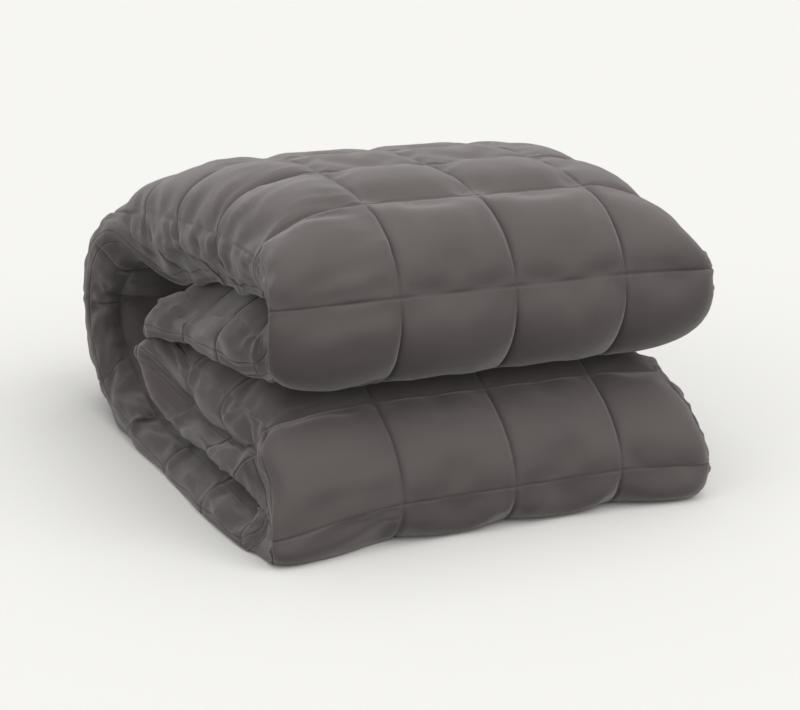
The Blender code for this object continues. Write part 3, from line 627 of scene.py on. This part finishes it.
def fill_pockets(obj, places, blanket):
    """Lets the filling swell the cloth between its seams, up to the room that it has."""
    before = [vert.co.copy() for vert in obj.data.vertices]
    hold_seams(obj, places)
    cloth = obj.modifiers.new("Filling", "CLOTH")
    settings = cloth.settings
    for name, value in FILLED_CLOTH.items():
        setattr(settings, name, value)
    settings.shrink_min = -blanket.spare_cloth
    settings.use_pressure = True
    settings.uniform_pressure_force = blanket.pressure
    settings.vertex_group_mass = "held"
    settings.effector_weights.gravity = 0.0
    cloth.collision_settings.use_collision = False
    cloth.collision_settings.use_self_collision = False
    cloth.point_cache.frame_start = 1
    cloth.point_cache.frame_end = blanket.settle_frames
    scene = bpy.context.scene
    for step in range(1, blanket.settle_frames + 1):
        scene.frame_set(step)
    depsgraph = bpy.context.evaluated_depsgraph_get()
    swollen = [vert.co.copy() for vert in obj.evaluated_get(depsgraph).data.vertices]
    obj.modifiers.remove(cloth)
    obj.vertex_groups.clear()
    scene.frame_set(1)
    for vert, start, end, (across, seam, outer) in zip(obj.data.vertices, before, swollen, places):
        move = end - start
        most = blanket.most_pressed
        most += (blanket.most_free - blanket.most_pressed) * freedom(across, seam, outer)
        if move.length > most:
            move = move.normalized() * most
        vert.co = start + move
        vert.co.z = max(vert.co.z, 0.0)


def round_cloth(obj):
    """Rounds the mesh once, and keeps the result as the blanket's own mesh."""
    smooth = obj.modifiers.new("Smooth cloth", "SUBSURF")
    smooth.levels = smooth.render_levels = 1
    smooth.uv_smooth = "NONE"
    depsgraph = bpy.context.evaluated_depsgraph_get()
    mesh = bpy.data.meshes.new_from_object(obj.evaluated_get(depsgraph),
                                           preserve_all_data_layers=True, depsgraph=depsgraph)
    obj.modifiers.remove(smooth)
    obj.data = mesh
    mesh.shade_smooth()


def cloth_places(mesh):
    """Where each point of the mesh belongs in the cloth, as (across, seam, outer) rows."""
    columns = []
    for name in PLACE:
        values = [0.0] * len(mesh.vertices)
        mesh.attributes[name].data.foreach_get("value", values)
        columns.append(values)
    return list(zip(*columns))


def stitch_dip(across, seam):
    """How deep the stitches pull the cloth in: 1 on a sewn line, 0 a few millimetres away."""
    to_row = abs(seam - round(seam)) if 0.5 < seam < ROWS - 0.5 else 1.0
    inside = FIRST_SEAM - 0.5 < across < LAST_SEAM + 0.5
    to_column = abs(across - round(across)) if inside else 1.0
    return math.exp(-(min(to_row, to_column) / STITCH_REACH) ** 2)


def crease_height(creases, across, seam):
    """Height of some creases at a place in the cloth, in metres."""
    height = 0.0
    for crease in creases:
        run_x, run_y = crease.to_across - crease.across, crease.to_seam - crease.seam
        from_x, from_y = across - crease.across, seam - crease.seam
        length = math.hypot(run_x, run_y)
        t = (from_x * run_x + from_y * run_y) / length ** 2
        off = (from_x * run_y - from_y * run_x) / length / crease.width
        if 0.0 < t < 1.0 and abs(off) < CREASE_REACH:
            fade = 1 - abs(2 * t - 1) ** 3
            furrow = FURROW_SHARE * math.exp(-(off - FURROW_OFF) ** 2)
            height += crease.rise * fade * (math.exp(-off * off) - furrow)
    return height


def gathers():
    """Small gathers along the seams of both sides, as creases."""
    chance = random.Random(GATHER_SEED)
    lines = ((-1, FLAT_LEFT), (-1, FIRST_SEAM), (1, FLAT_RIGHT + 1), (1, LAST_SEAM))
    for way, column in lines:
        for row in range(ROWS * GATHERS):
            start = (row + chance.uniform(*GATHER_PLACE)) / GATHERS
            reach = way * chance.uniform(*GATHER_REACH)
            slant = chance.uniform(-GATHER_SLANT, GATHER_SLANT)
            width = chance.uniform(*GATHER_WIDTH)
            rise = GATHER_RISE * chance.uniform(*GATHER_SHARE)
            for face in (0, 1):
                yield Crease(face, column, start, column + reach, start + slant, width, rise)


def creases_by_pocket():
    """Every crease and gather, listed under each face and pocket that it touches."""
    pockets = {}
    for crease in [Crease(*row) for row in CREASES] + list(gathers()):
        margin = CREASE_MARGIN * crease.width
        columns = touched(crease.across, crease.to_across, margin)
        rows = touched(crease.seam, crease.to_seam, margin)
        for column in columns:
            for row in rows:
                pockets.setdefault((crease.face, column, row), []).append(crease)
    return pockets


def touched(start, end, margin):
    """The pockets between two places and a margin beyond them, in one direction."""
    low, high = sorted((start, end))
    return range(math.floor(low - margin), math.floor(high + margin) + 1)


def press_details(mesh, blanket):
    """Pulls the cloth in along its stitches and raises its creases."""
    creases = creases_by_pocket()
    pushes = []
    for vert, (across, seam, outer) in zip(mesh.vertices, cloth_places(mesh)):
        height = -blanket.stitch_depth * stitch_dip(across, seam)
        pocket = (round(outer), math.floor(across), math.floor(seam))
        height += crease_height(creases.get(pocket, ()), across, seam)
        pushes.append(vert.normal * height)
    for vert, push in zip(mesh.vertices, pushes):
        vert.co += push
        vert.co.z = max(vert.co.z, 0.0)


def add_node(tree, kind, inputs=(), **values):
    """Adds a shader node, sets its attributes and feeds or sets inputs by number or name."""
    made = tree.nodes.new(kind)
    for name, value in values.items():
        setattr(made, name, value)
    for key, source in dict(inputs).items():
        if isinstance(source, bpy.types.NodeSocket):
            tree.links.new(source, made.inputs[key])
        else:
            made.inputs[key].default_value = source
    return made


def noise_node(tree, place, scale=1.0, detail=0.0, distortion=0.0):
    """The values of a Noise Texture at a place in the cloth."""
    inputs = {0: place, "Scale": scale, "Detail": detail, "Distortion": distortion}
    return add_node(tree, "ShaderNodeTexNoise", inputs).outputs["Fac"]


def math_node(tree, operation, *sources):
    """The result of a Math node on one to three sources."""
    made = add_node(tree, "ShaderNodeMath", dict(enumerate(sources)), operation=operation)
    return made.outputs[0]


def distance_node(tree, value, middle):
    """How far a value is from another one."""
    return math_node(tree, "ABSOLUTE", math_node(tree, "SUBTRACT", value, middle))


def mix_socket(sockets, identifier):
    """A Mix node's colour socket: A_Color, B_Color or Result_Color."""
    return next(socket for socket in sockets if socket.identifier == identifier)


def share_of(colour, share):
    """A colour made darker or brighter, for a colour socket."""
    return (*(share * part for part in colour), 1.0)


def new_group(name, outputs):
    """An empty node group that takes the cloth's coordinates and puts out named values."""
    group = bpy.data.node_groups.new(name, "ShaderNodeTree")
    group.interface.new_socket("Place in cloth", in_out="INPUT", socket_type="NodeSocketVector")
    for output in outputs:
        group.interface.new_socket(output, in_out="OUTPUT", socket_type="NodeSocketFloat")
    return group, group.nodes.new("NodeGroupInput"), group.nodes.new("NodeGroupOutput")


def weave_group():
    """Plain weave: height of the crossing threads, and how slubby they are."""
    tree, start, end = new_group("Plain weave", ("Height", "Slub"))
    place = add_node(tree, "ShaderNodeSeparateXYZ", {0: start.outputs[0]})
    warp = math_node(tree, "SINE", math_node(tree, "MULTIPLY", place.outputs["X"], WEAVE_TURNS))
    weft = math_node(tree, "SINE", math_node(tree, "MULTIPLY", place.outputs["Y"], WEAVE_TURNS))
    threads = math_node(tree, "MULTIPLY", warp, weft)
    slubs = []
    for stretch in ((SLUB_LONG, SLUB_FINE, 1.0), (SLUB_FINE, SLUB_LONG, 1.0)):
        drawn = add_node(tree, "ShaderNodeVectorMath", {0: start.outputs[0], 1: stretch},
                         operation="MULTIPLY")
        slubs.append(noise_node(tree, drawn.outputs[0], detail=2.0))
    slub = math_node(tree, "MULTIPLY", math_node(tree, "ADD", *slubs), 0.5)
    tree.links.new(math_node(tree, "MULTIPLY_ADD", threads, 0.5, slub), end.inputs["Height"])
    tree.links.new(slub, end.inputs["Slub"])
    return tree


def seam_group():
    """Sewn lines: masks of the stitches, of the painted shade beside them, and of the hem's line,
    which is sunk in and also darkened as painted shade.
    """
    tree, start, end = new_group("Sewn lines", ("Stitches", "Painted shade beside the seam", "Hem line"))
    place = add_node(tree, "ShaderNodeSeparateXYZ", {0: start.outputs[0]})
    distances, stitches = [], []
    for here, along in (("X", "Y"), ("Y", "X")):
        off = math_node(tree, "PINGPONG", place.outputs[here], 0.5)
        distances.append(off)
        on_line = math_node(tree, "LESS_THAN", off, THREAD_WIDTH)
        dash = math_node(tree, "FRACT", math_node(tree, "MULTIPLY", place.outputs[along],
                                                  STITCHES_PER_POCKET))
        stitches.append(math_node(tree, "MULTIPLY", on_line,
                                  math_node(tree, "LESS_THAN", dash, STITCH_SHARE)))
    tree.links.new(math_node(tree, "MAXIMUM", *stitches), end.inputs["Stitches"])
    # Painted shade beside a seam: darkest on the sewn line, fading within a few millimetres of it
    nearest = math_node(tree, "MINIMUM", *distances)
    beside = math_node(tree, "EXPONENT", math_node(tree, "MULTIPLY", nearest, -SEAM_FADE))
    tree.links.new(beside, end.inputs["Painted shade beside the seam"])
    # The hem's sewn line: its mask sinks the cloth in and also darkens it as painted shade
    off = []
    for axis, low, high in (("X", FIRST_SEAM - 1, LAST_SEAM + 1), ("Y", 0, ROWS)):
        from_middle = distance_node(tree, place.outputs[axis], (low + high) / 2)
        off.append(distance_node(tree, from_middle, (high - low) / 2 - HEM_WIDTH))
    line = math_node(tree, "MULTIPLY", math_node(tree, "MINIMUM", *off), -HEM_FADE)
    tree.links.new(math_node(tree, "EXPONENT", line), end.inputs["Hem line"])
    return tree


def wear_group():
    """Uneven dye, soft dents, and the wrinkles that the seams pull into the sides."""
    tree, start, end = new_group("Washed cloth", ("Dye", "Soft dents", "Pulled wrinkles"))
    patches = noise_node(tree, start.outputs[0], scale=DYE_SCALE, detail=4.0)
    tree.links.new(patches, end.inputs["Dye"])
    soft = noise_node(tree, start.outputs[0], scale=DENT_SCALE, detail=1.0)
    tree.links.new(soft, end.inputs["Soft dents"])
    pulled = crests(tree, start.outputs[0], WRINKLE_STRETCH)
    pulled = math_node(tree, "MULTIPLY", pulled, patches)
    place = add_node(tree, "ShaderNodeSeparateXYZ", {0: start.outputs[0]})
    off = distance_node(tree, place.outputs["X"], (FIRST_SEAM + LAST_SEAM) / 2)
    side = add_node(tree, "ShaderNodeMapRange", {0: off}, interpolation_type="SMOOTHSTEP")
    side.inputs["From Min"].default_value, side.inputs["From Max"].default_value = SIDE_WRINKLES
    pulled = math_node(tree, "MULTIPLY", pulled, side.outputs["Result"])
    tree.links.new(pulled, end.inputs["Pulled wrinkles"])
    return tree


def crests(tree, place, stretch):
    """Narrow crests that wander over the cloth, closer together where stretch is larger."""
    drawn = add_node(tree, "ShaderNodeVectorMath", {0: place, 1: stretch}, operation="MULTIPLY")
    off = distance_node(tree, noise_node(tree, drawn.outputs[0], distortion=0.3), 0.5)
    return math_node(tree, "EXPONENT", math_node(tree, "MULTIPLY", off, -CREST_SHARPNESS))


def cloth_material(cloth):
    """Dyed cloth with a plain weave, sewn lines darkened with painted shade, uneven dye and a soft
    sheen.
    """
    material = bpy.data.materials.new("warm_grey_cloth")
    material.use_nodes = True
    tree = material.node_tree
    shader = tree.nodes["Principled BSDF"]
    place = add_node(tree, "ShaderNodeUVMap", uv_map="cloth").outputs["UV"]
    weave, seams, wear = (add_node(tree, "ShaderNodeGroup", node_tree=made)
                          for made in (weave_group(), seam_group(), wear_group()))
    for group in (weave, seams, wear):
        tree.links.new(place, group.inputs[0])

    worn = add_node(tree, "ShaderNodeMix", {0: wear.outputs["Dye"]}, data_type="RGBA")
    for socket, share in zip(("A_Color", "B_Color"), DYE_RANGE):
        mix_socket(worn.inputs, socket).default_value = share_of(cloth.colour, share)
    # Painted shade: the colour is darkened along the seams and the hem line, standing in for the
    # shade in their dips
    lines = math_node(tree, "MAXIMUM", seams.outputs["Painted shade beside the seam"], seams.outputs["Hem line"])
    dark = math_node(tree, "MULTIPLY", lines, cloth.painted_seam_shade)
    shaded = add_node(tree, "ShaderNodeMix", {0: dark}, data_type="RGBA")
    tree.links.new(mix_socket(worn.outputs, "Result_Color"), mix_socket(shaded.inputs, "A_Color"))
    mix_socket(shaded.inputs, "B_Color").default_value = share_of(cloth.colour, SEAM_PAINTED_SHADE)
    tree.links.new(mix_socket(shaded.outputs, "Result_Color"), shader.inputs["Base Color"])

    rough = math_node(tree, "MULTIPLY_ADD", weave.outputs["Slub"], ROUGH_RANGE,
                      cloth.roughness - ROUGH_RANGE / 2)
    tree.links.new(rough, shader.inputs["Roughness"])
    shader.inputs["Specular IOR Level"].default_value = 0.25
    shader.inputs["Sheen Weight"].default_value = cloth.sheen
    shader.inputs["Sheen Roughness"].default_value = 0.35
    shader.inputs["Sheen Tint"].default_value = (1.0, 0.97, 0.96, 1.0)

    sunk = math_node(tree, "MULTIPLY", seams.outputs["Hem line"], -1.0)
    normal = None
    for height, distance in ((sunk, cloth.hem_depth),
                             (wear.outputs["Pulled wrinkles"], cloth.pulled_height),
                             (wear.outputs["Soft dents"], cloth.dent_height),
                             (weave.outputs["Height"], cloth.thread_height),
                             (seams.outputs["Stitches"], cloth.thread_height)):
        inputs = {"Distance": distance, "Height": height}
        if normal:
            inputs["Normal"] = normal
        normal = add_node(tree, "ShaderNodeBump", inputs).outputs["Normal"]
    tree.links.new(normal, shader.inputs["Normal"])
    return material


class BEDDING_OT_quilt(bpy.types.Operator):
    """Sew, fold and fill the blanket"""
    bl_idname = "bedding.quilt"
    bl_label = "Quilted blanket"

    def execute(self, context):
        blanket = context.scene.bedding_blanket
        mesh, places = fold_band(blanket)
        quilt = bpy.data.objects.new("quilted_blanket", mesh)
        context.scene.collection.objects.link(quilt)
        fill_pockets(quilt, places, blanket)
        round_cloth(quilt)
        press_details(quilt.data, blanket)
        quilt.data.materials.append(cloth_material(context.scene.bedding_cloth))
        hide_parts(SOLID)
        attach(quilt, BODY)
        return {"FINISHED"}


# -------- the stage

def add_camera(stage):
    """Camera that looks at the blanket from its front left, a little above it."""
    data = bpy.data.cameras.new("camera")
    data.sensor_width = 36.0
    data.lens = stage.lens
    data.clip_start, data.clip_end = 0.05, 60.0
    camera = bpy.data.objects.new("camera", data)
    bpy.context.scene.collection.objects.link(camera)
    back = Vector((math.sin(stage.azimuth) * math.cos(stage.elevation),
                   -math.cos(stage.azimuth) * math.cos(stage.elevation),
                   math.sin(stage.elevation)))
    camera.location = Vector(stage.aim) + back * stage.distance
    camera.rotation_euler = (-back).to_track_quat("-Z", "Y").to_euler()
    bpy.context.scene.camera = camera


def add_floor(stage):
    """A wide pale floor, which lights the blanket less than it shows."""
    bm = bmesh.new()
    bmesh.ops.create_grid(bm, x_segments=1, y_segments=1, size=FLOOR_SIZE)
    mesh = bpy.data.meshes.new("floor")
    bm.to_mesh(mesh)
    bm.free()
    floor = bpy.data.objects.new("floor", mesh)
    floor.location.z = -FLOOR_DROP
    bpy.context.scene.collection.objects.link(floor)
    material = bpy.data.materials.new("pale_floor")
    material.use_nodes = True
    tree = material.node_tree
    shader = tree.nodes["Principled BSDF"]
    shader.inputs["Roughness"].default_value = 0.9
    path = add_node(tree, "ShaderNodeLightPath")
    seen = add_node(tree, "ShaderNodeMix", {0: path.outputs["Is Diffuse Ray"]}, data_type="RGBA")
    for socket, share in (("A_Color", 1.0), ("B_Color", stage.bounce)):
        mix_socket(seen.inputs, socket).default_value = share_of(stage.floor, share)
    tree.links.new(mix_socket(seen.outputs, "Result_Color"), shader.inputs["Base Color"])
    mesh.materials.append(material)


def add_light():
    """A sky that is bright overhead, and soft lamps above, in front and at both sides."""
    world = bpy.data.worlds.new("pale_room")
    bpy.context.scene.world = world
    world.use_nodes = True
    tree = world.node_tree
    direction = add_node(tree, "ShaderNodeTexCoord").outputs["Generated"]
    height = add_node(tree, "ShaderNodeSeparateXYZ", {0: direction}).outputs["Z"]
    strength = add_node(tree, "ShaderNodeMapRange",
                        {0: height, "To Min": SKY_LOW, "To Max": SKY_HIGH})
    background = tree.nodes["Background"]
    background.inputs["Color"].default_value = (1.0, 0.995, 0.985, 1.0)
    tree.links.new(strength.outputs["Result"], background.inputs["Strength"])
    for name, energy, softness, tilt, turn in LAMPS:
        data = bpy.data.lights.new(name, "SUN")
        data.energy = energy
        data.angle = math.radians(softness)
        lamp = bpy.data.objects.new(name, data)
        lamp.rotation_euler = (math.radians(tilt), 0.0, math.radians(turn))
        bpy.context.scene.collection.objects.link(lamp)


class BEDDING_OT_stage(bpy.types.Operator):
    """Set the floor, the light and the camera"""
    bl_idname = "bedding.stage"
    bl_label = "Stage"

    def execute(self, context):
        stage = context.scene.bedding_stage
        context.scene.view_settings.view_transform = "Standard"
        add_camera(stage)
        add_floor(stage)
        add_light()
        return {"FINISHED"}


class BEDDING_PT_panel(bpy.types.Panel):
    """The blanket's settings and steps"""
    bl_idname = "BEDDING_PT_panel"
    bl_label = "Weighted blanket"
    bl_space_type = "VIEW_3D"
    bl_region_type = "UI"
    bl_category = "Bedding"

    def draw(self, context):
        scene = context.scene
        for group in (scene.bedding_blanket, scene.bedding_cloth, scene.bedding_stage):
            box = self.layout.box()
            for name in group.__annotations__:
                box.prop(group, name)
        for operator in (BEDDING_OT_quilt, BEDDING_OT_stage):
            self.layout.operator(operator.bl_idname)


CLASSES = (BlanketSettings, ClothSettings, StageSettings,
           BEDDING_OT_quilt, BEDDING_OT_stage, BEDDING_PT_panel)


def register():
    for cls in CLASSES:
        bpy.utils.register_class(cls)
    bpy.types.Scene.bedding_blanket = PointerProperty(type=BlanketSettings)
    bpy.types.Scene.bedding_cloth = PointerProperty(type=ClothSettings)
    bpy.types.Scene.bedding_stage = PointerProperty(type=StageSettings)


def unregister():
    del bpy.types.Scene.bedding_stage
    del bpy.types.Scene.bedding_cloth
    del bpy.types.Scene.bedding_blanket
    for cls in reversed(CLASSES):
        bpy.utils.unregister_class(cls)


def main():
    register()
    bpy.ops.bedding.quilt()
    bpy.ops.bedding.stage()


if __name__ == "__main__":
    main()
